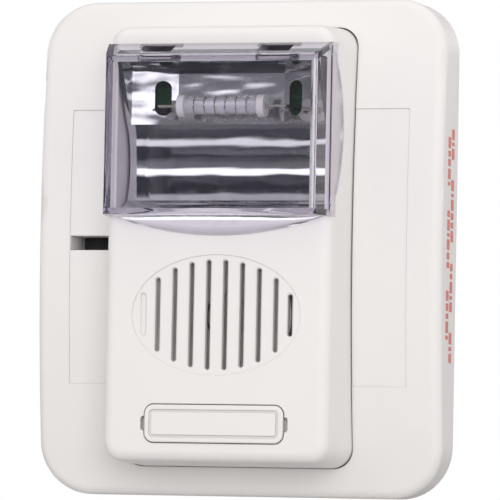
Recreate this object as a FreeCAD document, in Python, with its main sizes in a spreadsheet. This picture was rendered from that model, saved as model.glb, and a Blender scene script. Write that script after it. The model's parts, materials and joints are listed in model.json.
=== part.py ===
import FreeCAD, Part
import math
import os
import Sketcher

# Wall-mounted fire alarm horn strobe, built as an assembly of separate pieces.
# Frame: origin at the centre of the wall face, +Z up, -Y out of the wall towards the room.
# A depth is a distance in front of the wall, so a depth d lies at Y = -d.

Vector = FreeCAD.Vector

# Driving dimensions in millimetres and degrees. Positions are x and z, and depths are as above.
DIMENSIONS = {
    # clearances: between fixed neighbours, round a shaft, and between glued faces
    "part_gap": 0.1, "hole_gap": 0.05, "glue_gap": 0.02,
    # how far a joining feature runs into its neighbour, and how far a cut runs past a face
    "merge": 0.5, "beyond": 1,
    # mounting plate, fixed to the electrical box
    "plate_width": 106, "plate_height": 128, "plate_corner": 9, "plate_thick": 2.5,
    "plate_rim_depth": 5, "plate_rim_wall": 1.8,
    "wiring_width": 74, "wiring_height": 70, "wiring_corner": 6,
    "gang_pitch_x": 46, "gang_pitch_z": 83.3, "octagon_pitch": 88.9,
    "mount_hole": 4.2, "mount_slot": 7,
    "lug_x": 38.5, "lug_z": 57, "lug_diameter": 3.6, "lug_depth": 8, "lug_gap": 0.3,
    # rear housing, the plate that carries the electronics
    "rear_back": 3, "rear_thick": 2, "rear_width": 101.6, "rear_height": 123.6,
    "rear_corner": 8, "rear_rim_wall": 1.2, "rear_rim_depth": 7.4, "rim_break": 68,
    # outer cover
    "cover_width": 116, "cover_height": 137, "cover_corner": 14.5, "cover_back": 0.6,
    "cover_front": 17.5, "cover_wall": 2.3, "crown_radius": 450, "crown_rise": 6,
    "cover_edge_round": 2.8, "panel_width": 97, "panel_height": 76, "panel_depth": 0.2,
    "opening_width": 66.3, "opening_height": 121.1, "opening_corner": 5.6,
    "cover_boss_x": 45, "cover_boss_z": 52, "boss_diameter": 6.4, "boss_back": 5.1,
    # candela window in the outer cover
    "window_left": 48.3, "window_z": 1, "window_height": 4, "window_wall": 1.2,
    "window_end": 7.4,
    # front housing
    "front_width": 66.8, "front_height": 121.6, "front_corner": 6.5, "front_back": 5.1,
    "front_face": 35, "front_taper": 2.9, "front_wall": 2.2, "front_edge_round": 3,
    "front_boss_x": 28.6, "front_boss_z": 54.5, "front_boss_top": 20,
    "arm_notch_depth": 2.3, "arm_notch_height": 19.4, "arm_notch_z": 1.5,
    # strobe opening in the front housing, and the walls of its well
    "strobe_x": 29, "strobe_low": 8, "strobe_high": 50.9, "strobe_corner": 1,
    "well_x": 31.2, "well_low": 5.5, "well_high": 57, "well_back": 24,
    # windows for the lens clips
    "clip_x": 16.8, "clip_width": 12.4, "clip_height": 2.6, "clip_z": 53.1, "clip_depth": 31.5,
    "clip_gap": 0.2, "clip_thick": 1.7, "latch_width": 9.2, "latch_back": 36.9,
    "latch_front": 41.8,
    # lens
    "lens_front": 44, "lens_wall": 1.8, "lens_base_x": 32.2, "lens_front_x": 30,
    "lens_base_high": 54.6, "lens_front_high": 50.8, "lens_low": 7.4, "lens_chin_x": 30,
    "lens_chin_radius": 87, "lens_lip_radius": 3300, "lens_edge_round": 1.2,
    "lens_seat_depth": 31, "skirt_low": 8.4, "skirt_high": 53.9, "skirt_radius": 31,
    "skirt_front": 36, "skirt_gap": 0.15,
    # horn grille
    "grille_z": -19.5, "grille_slots": 10, "grille_pitch": 4.8, "grille_slot": 1.35,
    "grille_half_width": 22.6, "grille_half_height": 15, "grille_dish": 0.15,
    "grille_margin": 1.4, "grille_chamfer": 0.4, "grille_blind": 0.55,
    "grille_end_shift": 0.7,
    # name badge and its recess
    "badge_z": -49.1, "badge_width": 40, "badge_height": 10.8, "badge_corner": 2.8,
    "badge_recess": 1.2, "badge_thick": 1.7, "badge_gap": 0.3, "badge_round": 0.35,
    "badge_peg_x": 15, "badge_peg": 2.4, "badge_peg_depth": 31.4, "badge_line": 0.35,
    "badge_line_inset": 1.3, "badge_line_width": 0.7,
    "notch_width": 1.9, "notch_height": 4, "notch_depth": 1.9, "notch_corner": 0.8,
    # locking screw, its well in the front housing and its insert in the mounting plate
    "screw_well": 7.6, "screw_well_wall": 1.4, "screw_seat": 19.5, "screw_seat_wall": 1.5,
    "lock_hole": 3.8, "lock_shank": 3.4, "lock_head": 6.4, "lock_head_height": 2.4,
    "lock_head_round": 0.6, "lock_tip": 1.3, "lock_slot": 1, "lock_slot_depth": 1.1,
    "ring_outer": 6, "ring_depth": 8, "ring_thick": 0.8,
    "insert_outer": 4.8, "insert_front": 7, "insert_back": 1, "insert_boss": 7,
    "insert_boss_hole": 8.4,
    # circuit board and its posts
    "board_back": 9, "board_thick": 1.6, "board_width": 60.6, "board_low": -36,
    "board_high": 50, "board_corner": 1.5, "post_x": 28, "post_low": -32, "post_high": 46,
    "post_diameter": 5, "post_hole": 2.3, "board_hole": 2.5,
    # sounder
    "sounder_diameter": 45.6, "cup_back": 13, "cup_floor": 1.5, "cup_front": 25,
    "cup_bore": 38, "cup_ledge": 23.4, "cup_ledge_bore": 41.2, "cup_leg": 3,
    "cup_leg_radius": 20, "cup_legs": 3,
    "diaphragm_diameter": 40.6, "diaphragm_back": 23.6, "diaphragm_thick": 0.3,
    "ceramic_diameter": 25, "ceramic_thick": 0.25, "clamp_ring_back": 24.1,
    "clamp_ring_front": 24.9, "clamp_ring_bore": 37,
    "throat_front": 32, "throat_port": 12, "throat_mouth": 41, "gasket_front": 32.75,
    "gasket_bore": 41.6, "lead_diameter": 0.8, "lead_x": 6, "lead_hole": 2,
    "lead_front": 23.1,
    # strobe reflector: a dish behind the flash tube over a rolled lower half
    "dish_front": 39, "dish_front_x": 28, "dish_front_low": 31.6, "dish_front_high": 50.4,
    "dish_back": 22.8, "dish_back_x": 16.6, "dish_back_high": 48.4, "shoulder_depth": 28.4,
    "shoulder_high": 49, "dish_wall": 1.2, "trough_x": 15.2, "trough_z": 40,
    "trough_centre": 31.5, "trough_radius": 7.2,
    "roll_radius": 22, "roll_top_depth": 29, "roll_low_depth": 28.5, "roll_low": 12,
    "lip_depth": 32.5, "lip_low": 8.4,
    "dish_hole_x": 19, "dish_hole_z": 40.3, "dish_hole_width": 4.2, "dish_hole_height": 9.6,
    # flash tube, placed on its own axis
    "tube_depth": 32, "tube_z": 37.6, "tube_outer": 4.6, "tube_inner": 3.4,
    "tube_half": 10.4, "electrode_diameter": 1.6, "electrode_tip": 6.5,
    "electrode_half": 12.6, "support_inner": 10.4, "support_outer": 12.4,
    "support_diameter": 6.2, "trigger_diameter": 0.4, "trigger_run_diameter": 0.28,
    "trigger_turns": 6, "trigger_half": 7.5, "tube_lead_x": 18,
    # parts on the circuit board
    "capacitor_diameter": 12.8, "capacitor_x": -23, "capacitor_length": 36,
    "capacitor_z": 13, "capacitor_round": 0.8,
    "inductor_x": -24, "inductor_z": 33, "inductor_diameter": 12, "inductor_height": 9,
    "inductor_flange": 1.2, "inductor_neck": 6, "inductor_coil": 10.6,
    "trigger_box_x": 25, "trigger_box_z": 38, "trigger_box_width": 9,
    "trigger_box_height": 11, "trigger_box_depth": 8.5, "trigger_box_corner": 1,
    "transistor_x": 25, "transistor_z": 14, "transistor_width": 9.6,
    "transistor_height": 9, "transistor_thick": 4.4, "tab_height": 5.5, "tab_thick": 1.2,
    "tab_hole": 3.4, "film_x": 5, "film_z": 39, "film_width": 12, "film_height": 5.4,
    "film_depth": 9, "film_corner": 0.6, "chip_x": -9, "chip_z": 38, "chip_width": 6,
    "chip_height": 7.6, "chip_thick": 1.6,
    "small_x": -11, "small_z": 26, "small_pitch": 3.2, "small_width": 1.6,
    "small_height": 0.9, "small_thick": 0.6, "small_columns": 7, "small_rows": 2,
    # terminal block, facing the wall
    "terminals": 4, "terminal_x": 8, "terminal_z": -26.5, "terminal_pitch": 7.6,
    "block_width": 31.4, "block_height": 13, "block_back": 2.8, "block_corner": 0.6,
    "block_gap": 0.4, "pocket_size": 6.4, "pocket_floor": 7, "wire_entry": 4.6,
    "contact_back": 6, "clamp_back": 4.9, "clamp_thick": 1, "clamp_size": 6,
    "clamp_hole": 3.2, "clamp_corner": 0.4, "terminal_shank": 3, "terminal_head": 5,
    "terminal_head_thick": 1.6, "terminal_tip": 8.6, "terminal_hole": 3.1,
    "driver_slot": 0.8, "driver_slot_depth": 0.8,
    # volume and tone switches, facing the wall
    "switch_x": -19, "switch_z": -28, "switch_width": 10, "switch_height": 8,
    "switch_back": 5.8, "actuator_offset": 2.5, "actuator_width": 1.4,
    "actuator_height": 1.8, "actuator_back": 4, "actuator_floor": 7.4,
    "actuator_travel": 2,
    # candela selector: slider, arm and wiper
    "slider_x": -42.2, "slider_width": 11, "slider_low": -2.5, "slider_high": 20,
    "slider_back": 5.3, "slider_thick": 1.6, "slider_tab_width": 3.8,
    "slider_tab_height": 5, "slider_tab_back": 3.2, "slider_travel": 15,
    "arm_right": -26, "arm_z": 9, "arm_height": 3,
    "wiper_x": -28, "wiper_width": 3, "wiper_height": 2.6, "wiper_thick": 0.4,
    "mark_settings": 4, "mark_pitch": 5, "mark_spacing": 1.5, "mark_width": 0.8,
    "mark_height": 2.4, "mark_rise": 0.3,
    # screws that hold the assembly together
    "screw_shank": 2.8, "screw_hole": 3.2, "screw_pilot": 2.9, "screw_head": 5.4,
    "screw_head_thick": 1.5, "screw_end": 12.5, "pilot_end": 13, "screw_cross": 0.8,
    "screw_cross_length": 3.2, "board_screw_head": 4.2, "board_screw_head_thick": 1.5,
    "board_screw_shank": 2.2, "board_screw_end": 5.4,
    # rating label, blank
    "label_z": 13, "label_width": 52, "label_height": 26, "label_thick": 0.15,
    "label_corner": 1.5,
}


class Size:
    """A length together with the spreadsheet formula that gives it."""

    def __init__(self, value, formula):
        self.value = float(value)
        self.formula = formula

    @staticmethod
    def of(thing):
        return thing if isinstance(thing, Size) else Size(thing, repr(thing))

    def join(self, other, sign, value):
        return Size(value, f"({self.formula} {sign} {other.formula})")

    def __add__(self, other):
        other = Size.of(other)
        return self.join(other, "+", self.value + other.value)

    def __sub__(self, other):
        other = Size.of(other)
        return self.join(other, "-", self.value - other.value)

    def __mul__(self, other):
        other = Size.of(other)
        return self.join(other, "*", self.value * other.value)

    def __truediv__(self, other):
        other = Size.of(other)
        return self.join(other, "/", self.value / other.value)

    def __radd__(self, other):
        return Size.of(other) + self

    def __rsub__(self, other):
        return Size.of(other) - self

    def __rmul__(self, other):
        return Size.of(other) * self

    def __neg__(self):
        return Size(-self.value, f"(-1 * {self.formula})")

    def root(self):
        return Size(math.sqrt(self.value), f"sqrt({self.formula})")


class Sheet:
    """The document's spreadsheet of driving dimensions; sheet.name gives one as a Size."""

    def __init__(self, document, dimensions):
        self.cells = document.addObject("Spreadsheet::Sheet", "dims")
        self.values = dimensions
        for row, (alias, value) in enumerate(dimensions.items(), start=1):
            self.cells.set(f"A{row}", alias)
            self.cells.set(f"B{row}", str(value))
            self.cells.setAlias(f"B{row}", alias)
        document.recompute()

    def __getattr__(self, alias):
        return Size(self.values[alias], f"dims.{alias}")


doc = FreeCAD.newDocument("HornStrobe")
D = Sheet(doc, DIMENSIONS)
PIECES = []
LINE_START = 1
LINE_END = 2
CENTRE = 3
ORIGIN = (-1, 1)
FULL_TURN = 360


def bind(thing, prop, size):
    thing.setExpression(prop, Size.of(size).formula)


# ---- sketch shapes: each returns a function that draws itself into a sketch ----

def place_point(sketch, geometry, point, x, z):
    """Ties a point of the sketch to x, z measured from the sketch's origin."""
    for kind, size in (("DistanceX", Size.of(x)), ("DistanceY", Size.of(z))):
        index = sketch.addConstraint(
            Sketcher.Constraint(kind, *ORIGIN, geometry, point, size.value))
        bind(sketch, f"Constraints[{index}]", size)


def tie(sketch, kind, geometry, size, *point):
    size = Size.of(size)
    index = sketch.addConstraint(Sketcher.Constraint(kind, geometry, *point, size.value))
    bind(sketch, f"Constraints[{index}]", size)


def disc(x, z, diameter):
    """A circle."""
    def draw(sketch):
        centre = Vector(Size.of(x).value, Size.of(z).value, 0)
        circle = Part.Circle(centre, Vector(0, 0, 1), Size.of(diameter).value / 2)
        index = sketch.addGeometry(circle)
        tie(sketch, "Diameter", index, diameter)
        place_point(sketch, index, CENTRE, x, z)
    return draw


def oval(x, z, half_width, half_height):
    """An ellipse that is wider than it is tall."""
    def draw(sketch):
        centre = Vector(Size.of(x).value, Size.of(z).value, 0)
        far = centre + Vector(half_width.value, 0, 0)
        top = centre + Vector(0, half_height.value, 0)
        index = sketch.addGeometry(Part.Ellipse(far, top, centre))
        sketch.exposeInternalGeometry(index)
        major, minor = index + 1, index + 2
        sketch.addConstraint(Sketcher.Constraint("Horizontal", major))
        tie(sketch, "Distance", major, half_width * 2)
        tie(sketch, "Distance", minor, half_height * 2)
        place_point(sketch, index, CENTRE, x, z)
    return draw


def box(x, z, width, height, corner=None):
    """A rectangle centred on x, z, with rounded corners if a corner radius is given."""
    x, z, width, height = (Size.of(size) for size in (x, z, width, height))
    return span(x - width / 2, x + width / 2, z - height / 2, z + height / 2, corner)


def span(left, right, low, high, corner=None):
    """A rectangle given by its four sides, with rounded corners if a corner radius is given."""
    left, right, low, high = (Size.of(size) for size in (left, right, low, high))
    if corner is None:
        return outline([(left, low), (right, low), (right, high), (left, high)])

    def draw(sketch):
        x0, x1, z0, z1 = left.value, right.value, low.value, high.value
        radius = corner.value
        lines = [
            ((x0 + radius, z0), (x1 - radius, z0)), ((x1, z0 + radius), (x1, z1 - radius)),
            ((x1 - radius, z1), (x0 + radius, z1)), ((x0, z1 - radius), (x0, z0 + radius))]
        centres = [(x1 - radius, z0 + radius), (x1 - radius, z1 - radius),
                   (x0 + radius, z1 - radius), (x0 + radius, z0 + radius)]
        first = sketch.GeometryCount
        for side in range(4):
            start, end = lines[side]
            sketch.addGeometry(Part.LineSegment(Vector(*start, 0), Vector(*end, 0)))
            circle = Part.Circle(Vector(*centres[side], 0), Vector(0, 0, 1), radius)
            begin = math.pi / 2 * (side - 1)
            sketch.addGeometry(Part.ArcOfCircle(circle, begin, begin + math.pi / 2))
        for side in range(4):
            line, arc = first + 2 * side, first + 2 * side + 1
            following = first + (2 * side + 2) % 8
            sketch.addConstraint(
                Sketcher.Constraint("Tangent", line, LINE_END, arc, LINE_START))
            sketch.addConstraint(
                Sketcher.Constraint("Tangent", arc, LINE_END, following, LINE_START))
            direction = "Vertical" if side % 2 else "Horizontal"
            sketch.addConstraint(Sketcher.Constraint(direction, line))
            if side:
                sketch.addConstraint(Sketcher.Constraint("Equal", first + 1, arc))
        tie(sketch, "Radius", first + 1, corner)
        sides = (("DistanceY", 0, low), ("DistanceX", 2, right),
                 ("DistanceY", 4, high), ("DistanceX", 6, left))
        for kind, step, size in sides:
            index = sketch.addConstraint(
                Sketcher.Constraint(kind, *ORIGIN, first + step, LINE_START, size.value))
            bind(sketch, f"Constraints[{index}]", size)
    return draw


def slot(x, z, length, width, upright=True):
    """A slot with round ends, centred on x, z."""
    x, z, reach, radius = Size.of(x), Size.of(z), (length - width) / 2, width / 2
    shift = (0, reach) if upright else (reach, 0)
    tips = [(x + shift[0], z + shift[1]), (x - shift[0], z - shift[1])]
    turn = 0 if upright else -math.pi / 2

    def draw(sketch):
        first = sketch.GeometryCount
        for number, (tip_x, tip_z) in enumerate(tips):
            centre = Vector(tip_x.value, tip_z.value, 0)
            begin = turn + math.pi * number
            circle = Part.Circle(centre, Vector(0, 0, 1), radius.value)
            sketch.addGeometry(Part.ArcOfCircle(circle, begin, begin + math.pi))
            across = Vector(math.cos(begin), math.sin(begin), 0) * radius.value
            other = Vector(tips[1 - number][0].value, tips[1 - number][1].value, 0)
            sketch.addGeometry(Part.LineSegment(centre - across, other - across))
            place_point(sketch, first + 2 * number, CENTRE, tip_x, tip_z)
        for step in range(4):
            following = first + (step + 1) % 4
            sketch.addConstraint(Sketcher.Constraint(
                "Tangent", first + step, LINE_END, following, LINE_START))
        tie(sketch, "Radius", first, radius)
        sketch.addConstraint(Sketcher.Constraint("Equal", first, first + 2))
    return draw


def outline(points, arcs=None):
    """A closed outline through points. arcs maps a side's number to its radius, positive
    where the arc bulges to the right of the side's direction of travel."""
    arcs = arcs or {}
    corners = [(Size.of(x), Size.of(z)) for x, z in points]

    def draw(sketch):
        first = sketch.GeometryCount
        for side, (x, z) in enumerate(corners):
            next_x, next_z = corners[(side + 1) % len(corners)]
            start, end = Vector(x.value, z.value, 0), Vector(next_x.value, next_z.value, 0)
            if side not in arcs:
                sketch.addGeometry(Part.LineSegment(start, end))
                continue
            radius, bulge = abs(arcs[side].value), math.copysign(1, arcs[side].value)
            chord = end - start
            right = Vector(chord.y, -chord.x, 0).normalize() * bulge
            drop = math.sqrt(radius ** 2 - (chord.Length / 2) ** 2)
            middle = (start + end) / 2 + right * (radius - drop)
            sketch.addGeometry(Part.Arc(start, middle, end))
        ends = []
        for side, (x, z) in enumerate(corners):
            # Part.Arc always runs anticlockwise, so an arc that bulges left starts at its far end
            flipped = side in arcs and arcs[side].value < 0
            ends.append((LINE_END, LINE_START) if flipped else (LINE_START, LINE_END))
        for side in range(len(corners)):
            following = (side + 1) % len(corners)
            sketch.addConstraint(Sketcher.Constraint(
                "Coincident", first + side, ends[side][1],
                first + following, ends[following][0]))
            place_point(sketch, first + side, ends[side][0], *corners[side])
            if side in arcs:
                size = arcs[side] if arcs[side].value > 0 else -arcs[side]
                tie(sketch, "Radius", first + side, size)
    return draw


# ---- pieces ----

class Piece:
    """One part-design body, placed at x, z and a depth; its sketches are measured from there.
    They lie on the front plane (x, z at a depth), the side plane (y, z at an x) or the top
    plane (x, y at a z)."""

    PLANES = {"front": "XZ_Plane", "side": "YZ_Plane", "top": "XY_Plane"}

    def __init__(self, name, x=0, z=0, depth=0):
        self.body = doc.addObject("PartDesign::Body", name)
        self.body.Label = name
        bind(self.body, "Placement.Base.x", x)
        bind(self.body, "Placement.Base.y", -Size.of(depth))
        bind(self.body, "Placement.Base.z", z)
        PIECES.append(self.body)

    def origin_plane(self, role):
        return next(f for f in self.body.Origin.OriginFeatures if f.Role == role)

    def sketch(self, plane, offset, *shapes):
        made = self.body.newObject("Sketcher::SketchObject", "Sketch")
        made.AttachmentSupport = [(self.origin_plane(self.PLANES[plane]), "")]
        made.MapMode = "FlatFace"
        bind(made, "AttachmentOffset.Base.z", offset)
        for shape in shapes:
            shape(made)
        return made

    def feature(self, kind, sketch, length, symmetric=False, taper=None, reverse=False):
        made = self.body.newObject(f"PartDesign::{kind}", kind)
        made.Profile = sketch
        bind(made, "Length", length)
        if symmetric:
            made.SideType = "Symmetric"
        if taper is not None:
            bind(made, "TaperAngle", taper)
        made.Reversed = reverse
        sketch.Visibility = False
        doc.recompute()
        return made

    def pad(self, depth, front, *shapes, taper=None):
        """Adds material from depth out to front."""
        sketch = self.sketch("front", depth, *shapes)
        return self.feature("Pad", sketch, Size.of(front) - depth, taper=taper)

    def cut(self, front, depth, *shapes, taper=None):
        """Removes material from front back to depth."""
        sketch = self.sketch("front", front, *shapes)
        return self.feature("Pocket", sketch, Size.of(front) - depth, taper=taper)

    def pad_across(self, half_width, *shapes):
        """Adds the side profile over half_width either side of the centre line."""
        sketch = self.sketch("side", 0, *shapes)
        return self.feature("Pad", sketch, Size.of(half_width) * 2, symmetric=True)

    def cut_across(self, half_width, *shapes):
        sketch = self.sketch("side", 0, *shapes)
        return self.feature("Pocket", sketch, Size.of(half_width) * 2, symmetric=True)

    def loft(self, kind, *sections):
        """Straight-sided loft through (depth, shape) sections; Additive or Subtractive."""
        sketches = [self.sketch("front", depth, shape) for depth, shape in sections]
        made = self.body.newObject(f"PartDesign::{kind}Loft", "Loft")
        made.Profile = sketches[0]
        made.Sections = sketches[1:]
        made.Ruled = True
        doc.recompute()
        return made

    def turn(self, kind, shape):
        """Revolution or Groove of a profile in (y, distance from the axis) about the piece's
        own line out of the wall."""
        sketch = self.sketch("side", 0, shape)
        made = self.body.newObject(f"PartDesign::{kind}", kind)
        made.Profile = sketch
        made.ReferenceAxis = (sketch, ["H_Axis"])
        made.Angle = FULL_TURN
        doc.recompute()
        return made

    def repeat_around(self, feature, count):
        """Repeats a feature evenly round the piece's own line out of the wall."""
        made = self.body.newObject("PartDesign::PolarPattern", "PolarPattern")
        made.Originals = [feature]
        made.Axis = (self.origin_plane("Y_Axis"), [""])
        made.Angle = FULL_TURN
        made.Occurrences = count
        self.body.Tip = made
        doc.recompute()
        return made

    def bent_wire(self, start, bend, end, diameter):
        """A round wire that runs along x from start to bend, then back along y to end."""
        spine = self.sketch("top", 0)
        corners = [(start, Size.of(0)), (bend, Size.of(0)), (bend, end)]
        for leg in range(2):
            first, last = (Vector(x.value, y.value, 0) for x, y in corners[leg:leg + 2])
            spine.addGeometry(Part.LineSegment(first, last))
            place_point(spine, leg, LINE_START, *corners[leg])
        place_point(spine, 1, LINE_END, *corners[2])
        spine.addConstraint(Sketcher.Constraint("Coincident", 0, LINE_END, 1, LINE_START))
        made = self.body.newObject("PartDesign::AdditivePipe", "Pipe")
        made.Profile = self.sketch("side", start, disc(0, 0, diameter))
        made.Spine = spine
        made.Transition = "Right corner"
        doc.recompute()
        return made

    def dress(self, kind, size, base, wanted):
        """A Fillet or Chamfer on the edges of base for which wanted(edge) is true."""
        names = [f"Edge{number}" for number, edge in enumerate(base.Shape.Edges, start=1)
                 if wanted(edge)]
        made = self.body.newObject(f"PartDesign::{kind}", kind)
        made.Base = (base, names)
        bind(made, "Radius" if kind == "Fillet" else "Size", size)
        doc.recompute()
        return made


def in_plane(depth, margin=0.01):
    """True for an edge that lies flat at a depth in front of the wall."""
    level = -Size.of(depth).value

    def wanted(edge):
        bounds = edge.BoundBox
        return abs(bounds.YMin - level) < margin and abs(bounds.YMax - level) < margin
    return wanted


def corners_of(x, z):
    """The four points at plus and minus x and z."""
    return [(sx * x, sz * z) for sx in (1, -1) for sz in (1, -1)]


def both_sides(x):
    return [side * x for side in (1, -1)]


def discs(points, diameter):
    return [disc(x, z, diameter) for x, z in points]


def front_screw_points():
    return corners_of(D.front_boss_x, D.front_boss_z)


def cover_screw_points():
    return corners_of(D.cover_boss_x, D.cover_boss_z)


def post_points():
    return [(x, z) for x in both_sides(D.post_x) for z in (D.post_low, D.post_high)]


# ---- mounting plate ----

def mounting_plate():
    piece = Piece("mounting_plate")
    piece.pad(0, D.plate_thick, box(0, 0, D.plate_width, D.plate_height, D.plate_corner))
    piece.pad(D.plate_thick, D.plate_rim_depth,
              box(0, 0, D.plate_width, D.plate_height, D.plate_corner),
              box(0, 0, D.plate_width - D.plate_rim_wall * 2,
                  D.plate_height - D.plate_rim_wall * 2, D.plate_corner - D.plate_rim_wall))
    piece.pad(D.plate_thick, D.insert_front, disc(0, D.badge_z, D.insert_boss))
    piece.pad(D.plate_thick, D.lug_depth,
              *[disc(x, D.lug_z, D.lug_diameter) for x in both_sides(D.lug_x)])
    gang_holes = corners_of(D.gang_pitch_x / 2, D.gang_pitch_z / 2)
    piece.cut(D.plate_thick, 0,
              box(0, 0, D.wiring_width, D.wiring_height, D.wiring_corner),
              *discs(gang_holes, D.mount_hole),
              *[slot(0, z, D.mount_slot, D.mount_hole) for z in both_sides(D.gang_pitch_z / 2)],
              *[slot(x, 0, D.mount_slot, D.mount_hole, upright=False)
                for x in both_sides(D.octagon_pitch / 2)])
    piece.cut(D.insert_front, D.insert_back,
              disc(0, D.badge_z, D.insert_outer + D.hole_gap * 2))


def lock_insert():
    """Brass thread insert pressed into the mounting plate for the locking screw."""
    piece = Piece("lock_insert", z=D.badge_z)
    piece.pad(D.insert_back, D.insert_front, disc(0, 0, D.insert_outer),
              disc(0, 0, D.lock_shank + D.hole_gap * 2))


# ---- rear housing ----

def rear_housing():
    piece = Piece("rear_housing")
    front = D.rear_back + D.rear_thick
    piece.pad(D.rear_back, front, box(0, 0, D.rear_width, D.rear_height, D.rear_corner))
    piece.pad(front, D.rear_rim_depth,
              box(0, 0, D.rear_width, D.rear_height, D.rear_corner),
              box(0, 0, D.rear_width - D.rear_rim_wall * 2,
                  D.rear_height - D.rear_rim_wall * 2, D.rear_corner - D.rear_rim_wall))
    # the front housing stands between the ends of the rim
    piece.cut(D.rear_rim_depth, front, box(0, 0, D.rim_break, D.rear_height + D.beyond * 2))
    piece.pad(front, D.board_back, *discs(post_points(), D.post_diameter))
    piece.cut(D.board_back, D.rear_back, *discs(post_points(), D.post_hole))
    reach = D.slider_tab_height / 2 + D.part_gap
    half_tab = D.slider_tab_width / 2 + D.part_gap
    lug_hole = D.lug_diameter + D.lug_gap
    piece.cut(front, D.rear_back,
              box(D.terminal_x, D.terminal_z, D.block_width + D.block_gap * 2,
                  D.block_height + D.block_gap * 2),
              box(D.switch_x, D.switch_z, D.switch_width + D.block_gap * 2,
                  D.switch_height + D.block_gap * 2),
              span(D.slider_x - half_tab, D.slider_x + half_tab,
                   D.arm_z - D.slider_travel - reach, D.arm_z + reach),
              disc(0, D.badge_z, D.insert_boss_hole),
              *[disc(x, D.lug_z, lug_hole) for x in both_sides(D.lug_x)])
    points = front_screw_points() + cover_screw_points()
    piece.cut(front, D.rear_back, *discs(points, D.screw_hole))
    piece.cut(D.rear_back + D.screw_head_thick + D.part_gap, D.rear_back,
              *discs(points, D.screw_head + D.part_gap * 2))


def rating_label():
    piece = Piece("rating_label", z=D.label_z, depth=D.rear_back - D.glue_gap)
    piece.pad(-D.label_thick, 0,
              box(0, 0, D.label_width, D.label_height, D.label_corner))


# ---- outer cover ----

def crown_profile(lift, half_height):
    """Side profile of the space in front of the cover's crowned face, moved back by lift.
    Depths are negative here, because the side plane's first coordinate is y."""
    clear = D.cover_front + D.beyond
    radius = D.crown_radius
    centre = D.cover_front - lift - radius

    def face(z):
        return centre + (radius * radius - (z - D.crown_rise) * (z - D.crown_rise)).root()
    return outline([(-clear, -half_height), (-clear, half_height),
                    (-face(half_height), half_height), (-face(-half_height), -half_height)],
                   {2: radius})


def cover_shell(piece):
    """Crowned tray, open at the back."""
    piece.pad(D.cover_back, D.cover_front,
              box(0, 0, D.cover_width, D.cover_height, D.cover_corner))
    crowned = piece.cut_across(
        D.cover_width, crown_profile(Size.of(0), D.cover_height / 2 + D.beyond))
    back = -D.cover_back.value
    rounded = piece.dress("Fillet", D.cover_edge_round, crowned,
                          lambda edge: edge.BoundBox.YMax < back - D.beyond.value)
    shell = piece.body.newObject("PartDesign::Thickness", "Thickness")
    open_face = next(
        f"Face{number}" for number, face in enumerate(rounded.Shape.Faces, start=1)
        if in_plane(D.cover_back)(face))
    shell.Base = (rounded, [open_face])
    bind(shell, "Value", D.cover_wall)
    shell.Reversed = True
    doc.recompute()


def candela_window(piece):
    """Walled notch beside the opening, through which the candela slider shows."""
    wall = D.window_wall
    half = D.window_height / 2
    right = -D.front_width / 2
    joined = D.cover_front - D.cover_wall + D.merge
    piece.pad(D.window_end, joined,
              span(-D.window_left - wall, right, D.window_z - half - wall,
                   D.window_z + half + wall))
    piece.cut(D.cover_front + D.beyond, D.window_end,
              span(-D.window_left, right, D.window_z - half, D.window_z + half))


def outer_cover():
    piece = Piece("outer_cover")
    cover_shell(piece)
    piece.cut_across(D.panel_width / 2, crown_profile(D.panel_depth, D.panel_height / 2))
    candela_window(piece)
    piece.cut(D.cover_front + D.beyond, D.window_end,
              box(0, 0, D.opening_width, D.opening_height, D.opening_corner))
    points = cover_screw_points()
    piece.pad(D.boss_back, D.pilot_end, *discs(points, D.boss_diameter))
    piece.cut(D.screw_end + D.part_gap, D.boss_back, *discs(points, D.screw_pilot))


# ---- front housing ----

def housing_block(piece, growth):
    """The tapered outer form of the front housing, grown outwards by growth."""
    block = piece.pad(D.front_back, D.front_face + growth,
                      box(0, 0, D.front_width + growth * 2, D.front_height + growth * 2,
                          D.front_corner + growth), taper=-D.front_taper)
    piece.dress("Fillet", D.front_edge_round + growth, block,
                in_plane(D.front_face + growth))


def skirt_profile(gap):
    """Side profile of a lens skirt, grown by gap: a flat front and an arc that reaches back."""
    low, high = D.skirt_low - gap, D.skirt_high + gap
    edge, front = -D.front_face, -D.skirt_front - gap
    return outline([(front, low), (edge, low), (edge, high), (front, high)],
                   {1: D.skirt_radius - gap * 2})


def strobe_opening(piece):
    """The well behind the lens, the windows for its clips and the seats for its skirts."""
    behind = D.well_back - D.beyond
    past = D.front_face + D.beyond
    piece.pad(D.well_back, D.front_face - D.front_wall + D.merge,
              span(-D.well_x, D.well_x, D.well_low, D.well_high))
    piece.cut(past, behind,
              span(-D.strobe_x, D.strobe_x, D.strobe_low, D.strobe_high, D.strobe_corner))
    piece.cut(past, behind,
              *[box(x, D.clip_z, D.clip_width, D.clip_height) for x in both_sides(D.clip_x)])
    floor = D.lens_base_x - D.lens_wall - D.skirt_gap
    for side in (1, -1):
        sketch = piece.sketch("side", side * floor, skirt_profile(D.skirt_gap))
        piece.feature("Pocket", sketch, D.front_wall * 2, reverse=side > 0)


def grille_slot(number):
    """One upright slot, counted from the left. Its ends lie on an ellipse. The first and the
    last slot stand a little closer to their neighbours."""
    x = D.grille_pitch * (number - (D.grille_slots - 1) / 2)
    if number == 0:
        x = x + D.grille_end_shift
    elif number == D.grille_slots.value - 1:
        x = x - D.grille_end_shift
    share = x / D.grille_half_width
    half = D.grille_half_height * (1 - share * share).root()
    return slot(x, D.grille_z, half * 2, D.grille_slot)


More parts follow.
